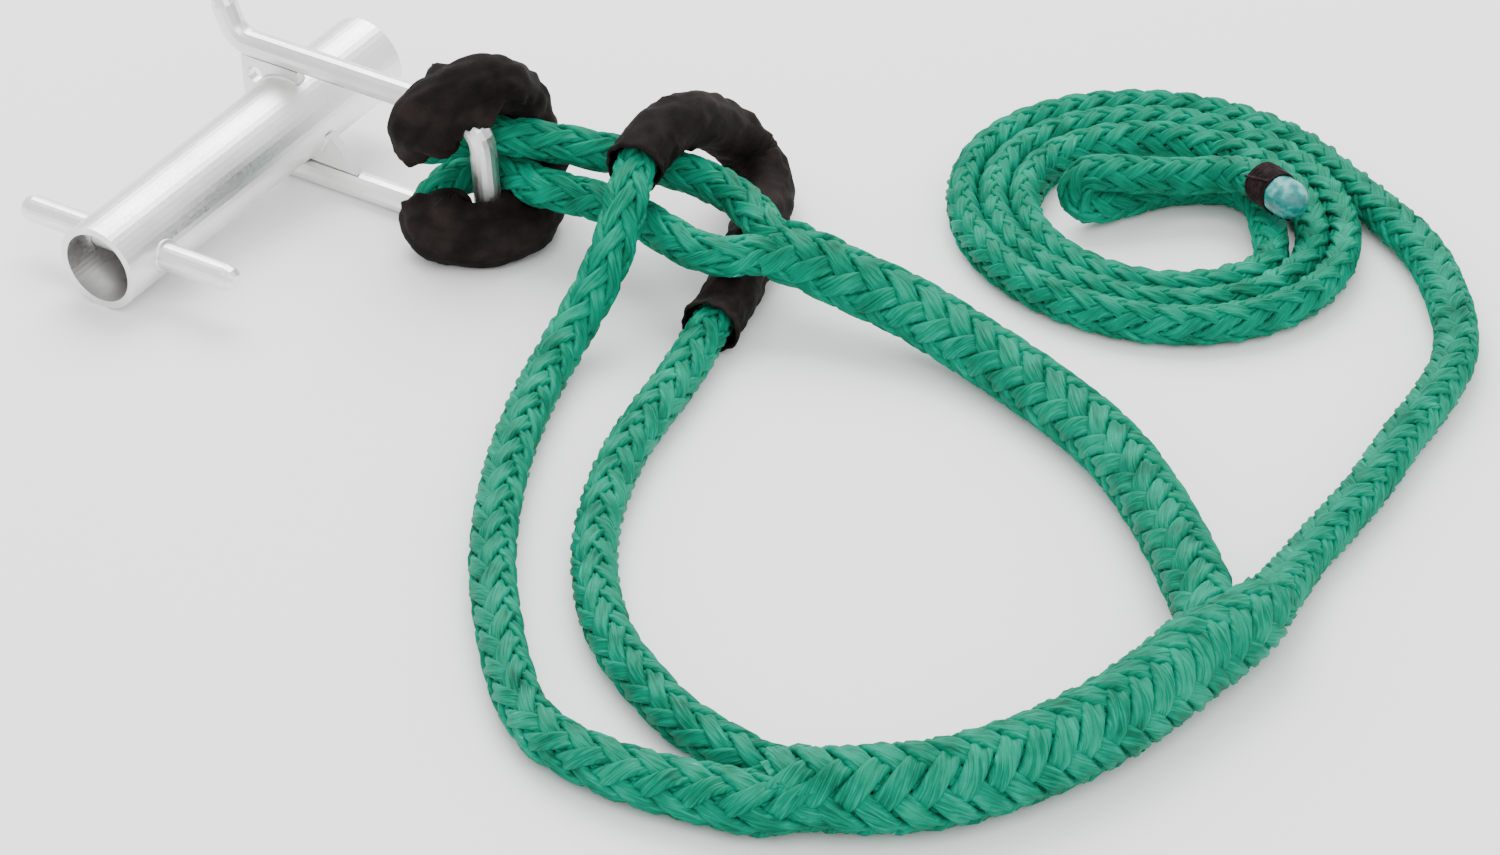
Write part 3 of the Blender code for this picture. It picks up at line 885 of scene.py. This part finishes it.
@dataclass(frozen=True)
class FabricSleeve:
    """A fabric tube pulled over the rope: creased, cross-folded inside its bends, hemmed at its mouths."""

    name: str
    line: Line  # place and half sizes along it
    seed: float  # offset of its creases
    puff: float  # how far the cloth stands off inside its bends
    keep_off: tuple[Vector, ...] = ()  # places on the middle of the bar that it is wrapped round
    bar: float = 0.0070  # distance that it keeps from those places
    press: float = 0.0004  # how much it is pressed in at a time where it touches something
    sides: int = 44  # points round it
    step: float = 0.0022  # distance between its rings
    wall: float = 0.0011  # thickness of its cloth
    bend_reach: int = 3  # how many rings to each side a bend is read from
    creases: Creases = Creases()
    folds: CrossFolds = CrossFolds()
    hem: Hem = Hem()

    def bend(self, stations: list[Station], index: int) -> Vector:
        """Read the bend at a station.

        Args:
            stations: the sleeve's stations.
            index: which of them.

        Returns:
            The way that the line bends to, its length one over the bend's radius.
        """
        before = stations[max(index - self.bend_reach, 0)]
        after = stations[min(index + self.bend_reach, len(stations) - 1)]
        return (after.along - before.along) / max(after.distance - before.distance, self.step)

    def radius(self, station: Station, bend: Vector, angle: float, length: float) -> float:
        """Distance from the line to the sleeve's outer face.

        Args:
            station: the station.
            bend: the bend there.
            angle: angle round the line.
            length: the sleeve's length.

        Returns:
            The distance.
        """
        outward = station.around(angle)
        spot = self.creases.spot(angle, station.distance, self.seed)
        out = station.wide + self.creases.out(spot, self.seed)
        out += self.folds.out(outward.dot(bend), station.distance, spot, self.seed, self.puff)
        out += self.hem.out(min(station.distance, length - station.distance), spot)
        while out > station.wide - self.wall and self.touches(station.place + outward * out):
            out -= self.press
        return out

    def touches(self, place: Vector) -> bool:
        """Whether a place is under the floor's surface or nearer to the bar than the sleeve may lie."""
        return place.z < OFF_FLOOR or any((place - spot).length < self.bar for spot in self.keep_off)

    def build(self, finish: bpy.types.Material) -> bpy.types.Object:
        """Make the sleeve as a closed skin with an inner face.

        Args:
            finish: its material.

        Returns:
            The piece.
        """
        stations = evenly(self.line, self.step)
        length = stations[-1].distance
        angles = [TURN * step / self.sides for step in range(self.sides)]
        shape = bmesh.new()
        outer, inner = [], []
        for index, station in enumerate(stations):
            bend = self.bend(stations, index)
            reach = [self.radius(station, bend, angle, length) for angle in angles]
            for rings, depth in ((outer, 0.0), (inner, self.wall)):
                rings.append([shape.verts.new(station.place + station.around(angle) * (out - depth))
                              for angle, out in zip(angles, reach)])
        join_rings(shape, [*outer, *reversed(inner), outer[0]])
        return placed(self.name, shape, finish)


# ---------------------------------------------------------------- the tail's end

@dataclass(frozen=True)
class TailEnd:
    """Whipping and dip on the tail's end."""

    whip_stations: int = 8  # how many stations from the end the whipping covers
    whip_turns: int = 11  # turns of the whipping thread
    turn_points: int = 20  # points for each of its turns
    thread: float = 0.00062  # radius of the thread
    wound_out: float = 0.6  # how far the windings lie outside the rope, in radii of the thread
    stitches: int = 3  # threads that are led over the windings
    stitch_out: float = 2.2  # how far they lie outside the rope, in radii of the thread
    stitch_start: float = 0.2  # share of a stitch's spacing before the first
    stitch_slant: float = 0.35  # how far a stitch turns round the rope, in radians
    dip_length: float = 0.017  # length of the dip
    dip_gap: float = 0.0004  # gap between the rope's end and the dip
    dip_rings: int = 16  # rings along the dip
    dip_sides: int = 32  # points round it
    dip_shoulder: float = 0.35  # share of its length after which it rounds off
    dip_tip: float = 0.0008  # radius of its last ring
    dip_least: float = 0.0003  # the least radius
    lump: float = 0.0007  # height of its lumps
    lump_round: float = 1.6  # noise units for the dip's radius
    lump_along: float = 3.0  # noise units for its length
    strand_mark: float = 0.0008  # height of the marks of the strands under it
    mark_pairs: int = 3  # half as many as the marks round it
    mark_turn: float = 2.5  # how far they turn over its length, in radians of their wave
    mark_sunk: float = 0.3  # share of their height that they lie lower

    def whipping(self, stations: list[Station], tree: bpy.types.NodeTree,
                 finish: bpy.types.Material) -> bpy.types.Object:
        """Wind the thread round the rope and lead stitches over the windings.

        Args:
            stations: the rope's stations, up to its end.
            tree: the thread's tree.
            finish: the thread's material.

        Returns:
            The piece.
        """
        covered = stations[-self.whip_stations:]
        start = covered[0].distance
        length = covered[-1].distance - start
        steps = self.whip_turns * self.turn_points
        winding = []
        for step in range(steps + 1):
            share = step / steps
            station = covered[round(share * (len(covered) - 1))]
            middle = station.place + station.along * (share * length - (station.distance - start))
            out = station.wide + self.thread * self.wound_out
            winding.append(middle + station.around(TURN * self.whip_turns * share) * out)
        lines = [winding]
        for number in range(self.stitches):
            angle = TURN * (number + self.stitch_start) / self.stitches
            lines.append([station.place
                          + station.around(angle + self.stitch_slant * (station.distance - start) / length)
                          * (station.wide + self.thread * self.stitch_out) for station in covered])
        return grown("tail_whipping_thread", line_mesh("winding", lines), tree,
                     {"Radius": self.thread, "Ripple": 0.1, "Ripple rate": 2600.0, "Sides": 6}, finish)

    def dip_radius(self, half: float, share: float, angle: float) -> float:
        """Distance from the line to the dip's face.

        Args:
            half: the rope's half size.
            share: share of the dip's length.
            angle: angle round the line.

        Returns:
            The distance.
        """
        rounding = max(0.0, share - self.dip_shoulder) / (1.0 - self.dip_shoulder)
        out = half * math.sqrt(1.0 - rounding ** 2) if share < 1 else self.dip_tip
        spot = Vector((math.cos(angle) * self.lump_round, math.sin(angle) * self.lump_round,
                       share * self.lump_along))
        strand = 0.5 * abs(math.sin(self.mark_pairs * angle + self.mark_turn * share)) - self.mark_sunk
        relief = self.lump * noise.noise(spot) + self.strand_mark * strand
        return max(out + relief * (1 - share), self.dip_least)

    def dip(self, start: Station, finish: bpy.types.Material) -> bpy.types.Object:
        """Make the dipped end: a rounded, slightly lumpy cap.

        Args:
            start: the rope's last station.
            finish: the dip's material.

        Returns:
            The piece.
        """
        shape = bmesh.new()
        rings = []
        for ring in range(self.dip_rings + 1):
            share = ring / self.dip_rings
            place = start.place + start.along * (self.dip_length * share + self.dip_gap)
            angles = [TURN * step / self.dip_sides for step in range(self.dip_sides)]
            reach = [self.dip_radius(start.wide, share, angle) for angle in angles]
            rings.append([shape.verts.new(place + start.around(angle) * out)
                          for angle, out in zip(angles, reach)])
        join_rings(shape, rings)
        for end in (rings[0], rings[-1]):
            shape.faces.new(end)
        return placed("tail_dip_cap", shape, finish)


# ---------------------------------------------------------------- the bollard

@dataclass(frozen=True)
class Bollard:
    """Finish and weld beads of the metal part.

    Its own frame is u along the ring's legs, n along the barrel and w up.
    """

    barrel_r: float = 0.0211  # radius of the barrel
    pin_r: float = 0.00635  # radius of the pin
    pin_n: float = -0.078  # the pin's place along the barrel
    ring_n: float = 0.0445  # the ring's place along the barrel
    ring_low: float = -0.02775  # height of the lower leg's middle
    ring_high: float = 0.03325  # height of the upper leg's middle
    ring_reach: float = 0.112  # how far the end bar stands out
    ring_bend: float = 0.017  # radius of the ring's corners
    bend_steps: int = 8  # steps round a corner
    ring_step: float = 0.002  # distance between the places along the ring
    plate_half: float = 0.0025  # half thickness of the gussets
    leg_bead_half: float = 0.0042  # distance from the leg's middle to its beads
    bead: float = 0.0011  # radius of a bead
    foot_aside: float = 0.4  # how far a gusset's bead lies beside it, in radii of the bead
    foot_proud: float = 0.3  # how far that bead's middle lies outside the barrel, in its radii
    groove_proud: float = 0.5  # the same for the beads of the leg and of the pin
    # from where to where the horn's gusset meets the barrel, in degrees
    horn_foot: tuple[float, float] = (72.0, 178.0)
    leg_foot: tuple[float, float] = (-66.0, -14.0)  # the same for the leg's gusset
    leg_groove: tuple[float, float] = (-112.0, -68.0)  # the same for the lower leg itself
    foot_steps: int = 24  # steps along a gusset's bead
    groove_steps: int = 20  # steps along a leg's bead
    pin_steps: int = 48  # steps round the pin
    origin: Point = (-0.027925, 0.0, 0.030019)  # the frame's place
    tilt: float = math.radians(5.088)  # the frame's turn about X
    # the CAD nodes that keep their shapes
    nodes: tuple[str, ...] = ("barrel_tube", "cleat_pin", "ring_bar", "horn_gusset", "leg_gusset")

    def frame(self) -> Matrix:
        """The bollard's own frame in the world."""
        return Matrix.Translation(self.origin) @ Matrix.Rotation(self.tilt, 4, "X")

    def ring_places(self) -> tuple[Vector, ...]:
        """Find places close together along the middle of the ring's bar.

        Returns:
            The places in the world.
        """
        bend = self.ring_bend
        corners = [(0.0, self.ring_low)]
        for quarter, w in ((-1, self.ring_low + bend), (0, self.ring_high - bend)):
            for step in range(self.bend_steps + 1):
                angle = math.pi / 2 * (quarter + step / self.bend_steps)
                corners.append((self.ring_reach - bend + bend * math.cos(angle), w + bend * math.sin(angle)))
        corners.append((0.0, self.ring_high))
        places = []
        for (u, w), (next_u, next_w) in zip(corners, corners[1:]):
            steps = max(1, round(math.hypot(next_u - u, next_w - w) / self.ring_step))
            for step in range(steps):
                share = step / steps
                spot = Vector((blend(u, next_u, share), self.ring_n, blend(w, next_w, share)))
                places.append(self.frame() @ spot)
        return tuple(places)

    def pin_bead(self, way: int) -> list[Vector]:
        """Lead a bead round the pin, on the barrel's curved face.

        Args:
            way: 1 or -1 for the two sides.

        Returns:
            The bead's points in the bollard's frame.
        """
        line = []
        out = self.pin_r + self.bead * self.groove_proud
        for step in range(self.pin_steps + 1):
            angle = TURN * step / self.pin_steps
            w = out * math.sin(angle)
            u = way * math.sqrt(self.barrel_r ** 2 - w ** 2)
            line.append(Vector((u, self.pin_n + out * math.cos(angle), w)))
        return line

    def barrel_bead(self, span: tuple[float, float], steps: int, aside: float, proud: float) -> list[Vector]:
        """Lead a bead round part of the barrel.

        Args:
            span: its first and last angle, in degrees.
            steps: steps along it.
            aside: its distance from the ring's plane.
            proud: how far its middle lies outside the barrel, in radii of the bead.

        Returns:
            The bead's points in the bollard's frame.
        """
        line = []
        out = self.barrel_r + self.bead * proud
        for step in range(steps + 1):
            angle = math.radians(blend(*span, step / steps))
            line.append(Vector((out * math.cos(angle), self.ring_n + aside, out * math.sin(angle))))
        return line

    def beads(self) -> dict[str, list[list[Vector]]]:
        """Lay out the weld beads.

        Returns:
            The beads' points in the bollard's frame, by the pieces' names.
        """
        aside = self.plate_half + self.bead * self.foot_aside
        horn, leg = ([self.barrel_bead(span, self.foot_steps, way * aside, self.foot_proud)
                      for way in (1, -1)] for span in (self.horn_foot, self.leg_foot))
        groove = [self.barrel_bead(self.leg_groove, self.groove_steps, way * self.leg_bead_half,
                                   self.groove_proud) for way in (1, -1)]
        pin = [self.pin_bead(way) for way in (1, -1)]
        return {"pin_weld_beads": pin, "horn_weld_beads": horn, "leg_weld_beads": leg + groove}

    def build(self, nodes: dict[str, bpy.types.Object], tree: bpy.types.NodeTree,
              finish: bpy.types.Material) -> None:
        """Give the CAD nodes their finish and add the beads.

        Args:
            nodes: the frame's objects by their names.
            tree: the tree that grows a bead.
            finish: the metal's material.
        """
        for name in self.nodes:
            slots = nodes[name].data.materials
            for index in range(len(slots)):
                slots[index] = finish
            LOG.info("%s keeps its CAD shape", name)
        place = self.frame()
        for name, lines in self.beads().items():
            data = line_mesh(name, [[place @ point for point in line] for line in lines])
            piece = grown(name, data, tree, {"Radius": self.bead, "Ripple": 0.16, "Ripple rate": 3200.0,
                                             "Sides": 10}, finish)
            declare(piece, Bodies.BOLLARD)


# ---------------------------------------------------------------- the sling

@dataclass(frozen=True)
class Coil:
    """The tail's flat coil."""

    centre: tuple[float, float] = (0.340, 0.227)  # its middle
    long: float = 0.1115  # its half length
    short: float = 0.0982  # its half width
    lie: float = math.radians(-27.3)  # the angle of its length, from X
    outer: float = 0.93  # share of its size where the first turn lies
    inward: float = 0.143  # share that it loses in each turn
    steps_at: float = 0.62  # share of a turn after which it moves one row inwards
    start: float = 80.0  # its first angle, in degrees
    end: float = 1100.0  # its last angle, in degrees
    points: int = 14  # route points for each turn
    height: float = 0.0106  # height of the rope's middle

    def rows_inward(self, turns: float) -> float:
        """How many rows inwards the rope lies: it keeps its row, then steps in late in each turn.

        Args:
            turns: turns from the coil's start.

        Returns:
            The rows.
        """
        whole = math.floor(turns)
        t = max(0.0, (turns - whole - self.steps_at) / (1.0 - self.steps_at))
        return whole + t * t * (3.0 - 2.0 * t)

    def route(self) -> list[Point]:
        """Lead the route round the coil, from the outside inwards.

        Returns:
            The route's points.
        """
        turns = (self.end - self.start) / 360.0
        count = round(turns * self.points)
        route = []
        for index in range(count + 1):
            angle = math.radians(blend(self.start, self.end, index / count))
            share = self.outer - self.inward * self.rows_inward(turns * index / count)
            u = self.long * share * math.cos(angle)
            v = self.short * share * math.sin(angle)
            x = self.centre[0] + u * math.cos(self.lie) - v * math.sin(self.lie)
            y = self.centre[1] + u * math.sin(self.lie) + v * math.cos(self.lie)
            route.append((x, y, self.height))
        return route


@dataclass(frozen=True)
class Sling:
    """The rope sling: its stretches of braid, its sleeves and its tail's end."""

    finishes: dict[Slots, bpy.types.Material]  # the material of each slot
    braids: bpy.types.NodeTree  # the tree that grows the braid
    threads: bpy.types.NodeTree  # the tree that grows threads
    rope: float = 0.0105  # half size of the free rope
    eye: float = 0.0096  # half size of the eye's rope
    under_eye_sleeve: float = 0.0088  # the same under its sleeve
    under_loop_sleeve: float = 0.0098  # half size of the loop's rope under its sleeve
    eye_sleeve: float = 0.0109  # half size of the eye's sleeve
    loop_sleeve: float = 0.0124  # half size of the loop's sleeve
    splice: float = 0.0148  # half size of the fixed splice
    bury: float = 0.019  # half size of the adjustable bury
    core: float = 0.0074  # half size of the rope buried in either
    end: float = 0.0091  # half size of the tail's last stretch
    coiled: Size = (0.0079, 0.0102)  # half width and half height of the rope in the coil
    to_coil: Size = (0.0098, 0.0104)  # the same where the tail bends into it
    # the slack tail's braid lies shorter than the loaded rope's
    tail_braid: BraidSizes = BraidSizes(strand_per_turn=0.092)
    tail_step: float = 0.002  # distance between the stations at the tail's end
    coil: Coil = Coil()
    tail_end: TailEnd = TailEnd()

    def tail_line(self) -> Line:
        """Lead the free tail from inside the bury to its whipped end.

        Returns:
            Its line.
        """
        coil = self.coil.route()
        route = [*TAIL_IN_BURY, *TAIL_ROUTE, *TO_COIL, *coil, *END_ROUTE]
        swollen = [self.rope * share for share in (1.0, 1.1, 1.15, 1.15, 1.08)]
        free = TAIL_ROUTE[len(swollen) - len(TAIL_IN_BURY):]
        halves = [*round_sizes(swollen), *even_sizes(free, self.rope), self.to_coil]
        halves += [self.coiled] * len(coil) + even_sizes(END_ROUTE, self.end)
        return smooth_line(route, halves)

    def eye_line(self) -> Line:
        """Lead the eye's rope, thinner where its sleeve covers it, with both ends tucked into the splice.

        Returns:
            Its line.
        """
        first, last = SLEEVE_ON_EYE
        halves = [self.under_eye_sleeve if first <= index <= last else self.eye
                  for index in range(len(EYE_ROUTE))]
        tucked = [0.8 * self.eye, 0.9 * self.eye]
        halves = [*tucked, *halves, *reversed(tucked)]
        return smooth_line([*EYE_STARTS_IN, *EYE_ROUTE, *EYE_ENDS_IN], round_sizes(halves))

    def loop_line(self) -> Line:
        """Lead the loop's rope, thinner where its sleeve covers it, with both ends tucked into the bury.

        Returns:
            Its line.
        """
        first, last = SLEEVE_ON_LOOP
        halves = [self.under_loop_sleeve if first <= index <= last else self.rope
                  for index in range(len(LOOP_ROUTE))]
        swollen = [self.rope * share for share in (1.3, 1.27, 1.22, 1.17, 1.12, 1.07)]
        halves = [self.rope, self.rope * 1.2, *swollen, *halves[len(swollen):], self.rope, self.rope]
        return smooth_line([*LOOP_STARTS_IN, *LOOP_ROUTE, *LOOP_ENDS_IN], round_sizes(halves))

    def splice_shape(self) -> tuple[list[Point], list[Size]]:
        """Shape the fixed splice: flat where the eye's legs join, with its end tucked into the bury.

        Returns:
            Its route and its sizes.
        """
        throat = [(0.0188, 0.0122), (0.0166, 0.0134), (0.0152, 0.0146)]
        tucked = [self.splice * share for share in (0.93, 0.76)]
        route = STANDING_ROUTE[:BURY_STARTS + 4]
        even = even_sizes(route[len(throat) + len(tucked):], self.splice)
        return route, [*throat, *even, *round_sizes(tucked)]

    def bury_shape(self) -> tuple[list[Point], list[Size]]:
        """Shape the adjustable bury: narrower at its mouth and flat where the loop's legs leave it.

        Returns:
            Its route and its sizes.
        """
        mouth = [self.bury * share for share in (0.76, 0.87, 0.96)]
        flat = [(0.0195, 0.0172), (0.0205, 0.0148)]
        route = [*BURY_MOUTH, *STANDING_ROUTE[BURY_STARTS + 3:-2], *BURY_END]
        even = even_sizes(route[len(mouth) + len(flat):], self.bury)
        return route, [*round_sizes(mouth), *even, *flat]

    def doubled(self, name: str, shape: tuple[list[Point], list[Size]]) -> list[BraidedRope]:
        """Make a doubled stretch: the braid outside and the rope that is buried in it.

        Args:
            name: the stretch's name.
            shape: the outer braid's route and sizes.

        Returns:
            The two stretches of rope.
        """
        route, halves = shape
        ropes = []
        for node, sizes in ((name + "_braid", halves), (name + "_core", even_sizes(route, self.core))):
            diameter = 2 * max(wide for wide, _ in sizes)
            ropes.append(BraidedRope(node + "_strands", smooth_line(route, sizes), (node,), diameter,
                                     lay=Lay.TAUT))
        return ropes

    def sleeve(self, cloth: FabricSleeve, node: str) -> bpy.types.Object:
        """Args:
            cloth: the sleeve.
            node: the CAD node that it stands for.

        Returns:
            The piece.
        """
        piece = cloth.build(self.finishes[Slots.SLEEVE])
        declare(piece, Bodies.SLING, (node,))
        return piece

    def end_pieces(self, line: Line) -> tuple[bpy.types.Object, bpy.types.Object]:
        """Build the whipping and the dip on the tail's end.

        Args:
            line: the tail's line.

        Returns:
            The two pieces.
        """
        stations = evenly(line, self.tail_step)
        whipping = self.tail_end.whipping(stations, self.threads, self.finishes[Slots.WHIPPING])
        dip = self.tail_end.dip(stations[-1], self.finishes[Slots.DIP])
        declare(whipping, Bodies.SLING, ("tail_whipping",))
        declare(dip, Bodies.SLING, ("tail_dipped_end",))
        return whipping, dip

    def build(self, ring: tuple[Vector, ...]) -> None:
        """Build and declare every stretch of the sling.

        Args:
            ring: places on the middle of the ring's bar, which the eye's sleeve keeps off.
        """
        eye_cloth = FabricSleeve("eye_sleeve_fabric", covered(EYE_ROUTE, SLEEVE_ON_EYE, self.eye_sleeve),
                                 seed=1.7, puff=0.012, keep_off=ring)
        loop_cloth = FabricSleeve("loop_sleeve_fabric", covered(LOOP_ROUTE, SLEEVE_ON_LOOP, self.loop_sleeve),
                                  seed=5.3, puff=0.003)
        eye_sleeve = self.sleeve(eye_cloth, "eye_sleeve")
        loop_sleeve = self.sleeve(loop_cloth, "loop_sleeve")
        eye = BraidedRope("eye_rope_braid", self.eye_line(), ("eye_strands",), 2 * self.eye)
        loop = BraidedRope("loop_rope_braid", self.loop_line(), ("loop_rope",), 2 * self.rope)
        tail = BraidedRope("tail_rope_braid", self.tail_line(), ("tail_rope", "tail_coil", "tail_end_rope"),
                           2 * self.rope, FarEnd.BARE, Lay.COILED, self.tail_braid)
        green = self.finishes[Slots.BRAID]
        eye.build(self.braids, green, (eye_sleeve,))
        for rope in (*self.doubled("fixed_splice", self.splice_shape()),
                     *self.doubled("adjustable_bury", self.bury_shape())):
            rope.build(self.braids, green)
        loop.build(self.braids, green, (loop_sleeve,))
        ends = self.end_pieces(tail.line)
        tail.build(self.braids, green, ends)


def covered(route: list[Point], points: tuple[int, int], half: float) -> Line:
    """Read the part of a route that a sleeve covers.

    Args:
        route: the rope's route.
        points: the first and last point covered.
        half: the sleeve's half size.

    Returns:
        The sleeve's line.
    """
    first, last = points
    return smooth_line(route, even_sizes(route, half))[first * SPAN_STEPS:last * SPAN_STEPS + 1]


# ---------------------------------------------------------------- floor, light and camera

@dataclass(frozen=True)
class Lamp:
    """A broad soft light."""

    name: str
    place: Point
    size: float
    power: float

    def hang(self, target: Point) -> None:
        """Hang the light so that it shines on a place.

        Args:
            target: the place.
        """
        data = bpy.data.lights.new(self.name, "AREA")
        data.size = self.size
        data.energy = self.power
        lamp = bpy.data.objects.new(self.name, data)
        lamp.location = self.place
        lamp.rotation_euler = (Vector(self.place) - Vector(target)).to_track_quat("Z", "Y").to_euler()
        bpy.context.scene.collection.objects.link(lamp)


@dataclass(frozen=True)
class Studio:
    """The floor, the soft lights and the camera."""

    target: Point = (0.27442721, -0.02077639, 0.0)  # the place that the camera looks at
    distance: float = 2.6  # the camera's distance from it
    azimuth: float = math.radians(34)  # the camera's angle round the object
    elevation: float = math.radians(32)  # the camera's angle above the floor
    lens: float = 141.8  # the camera's focal length, in millimetres
    sensor: float = 36.0  # width of its sensor, in millimetres
    floor_size: float = 6.0  # the floor's side
    floor_colour: Colour = (0.93, 0.93, 0.93)
    floor_rough: float = 0.9
    surround: float = 1.5  # strength of the white surround
    lamps: tuple[Lamp, ...] = (Lamp("key", (-0.6, 0.9, 1.7), 1.6, 56.0),
                               Lamp("fill", (1.4, -0.9, 1.5), 1.8, 24.0))

    def camera(self) -> None:
        """Place the camera."""
        level = math.cos(self.elevation)
        back = Vector((math.sin(self.azimuth) * level, -math.cos(self.azimuth) * level,
                       math.sin(self.elevation)))
        data = bpy.data.cameras.new("camera")
        data.lens = self.lens
        data.sensor_width = self.sensor
        data.dof.use_dof = False
        camera = bpy.data.objects.new("camera", data)
        camera.location = Vector(self.target) + back * self.distance
        camera.rotation_euler = back.to_track_quat("Z", "Y").to_euler()
        bpy.context.scene.collection.objects.link(camera)
        bpy.context.scene.camera = camera

    def floor(self) -> None:
        """Lay a pale floor."""
        finish = bpy.data.materials.new("floor")
        finish.use_nodes = True
        shader = finish.node_tree.nodes["Principled BSDF"]
        shader.inputs["Base Color"].default_value = (*self.floor_colour, 1.0)
        shader.inputs["Roughness"].default_value = self.floor_rough
        shape = bmesh.new()
        bmesh.ops.create_grid(shape, x_segments=1, y_segments=1, size=self.floor_size / 2)
        placed("floor", shape, finish)

    def light(self) -> None:
        """Hang the lights and set a pale surround."""
        for lamp in self.lamps:
            lamp.hang(self.target)
        world = bpy.context.scene.world or bpy.data.worlds.new("surround")
        bpy.context.scene.world = world
        world.use_nodes = True
        surround = world.node_tree.nodes["Background"]
        surround.inputs["Color"].default_value = (1.0, 1.0, 1.0, 1.0)
        surround.inputs["Strength"].default_value = self.surround

    def build(self) -> None:
        """Set up the camera, the floor and the lights."""
        self.camera()
        self.floor()
        self.light()
        LOG.info("the studio has its camera, its floor and %d lights", len(self.lamps))


def main() -> None:
    """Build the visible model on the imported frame."""
    logging.basicConfig(level=logging.INFO)
    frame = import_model()
    Studio().build()
    masks = masks_group()
    fibres = fibre_group()
    finishes = {finish.slot: finish.material(masks, fibres) for finish in FINISHES}
    threads = thread_tree()
    bollard = Bollard()
    Sling(finishes, braid_tree(), threads).build(bollard.ring_places())
    bollard.build(frame["nodes"], threads, finishes[Slots.METAL])


if __name__ == "__main__":
    main()
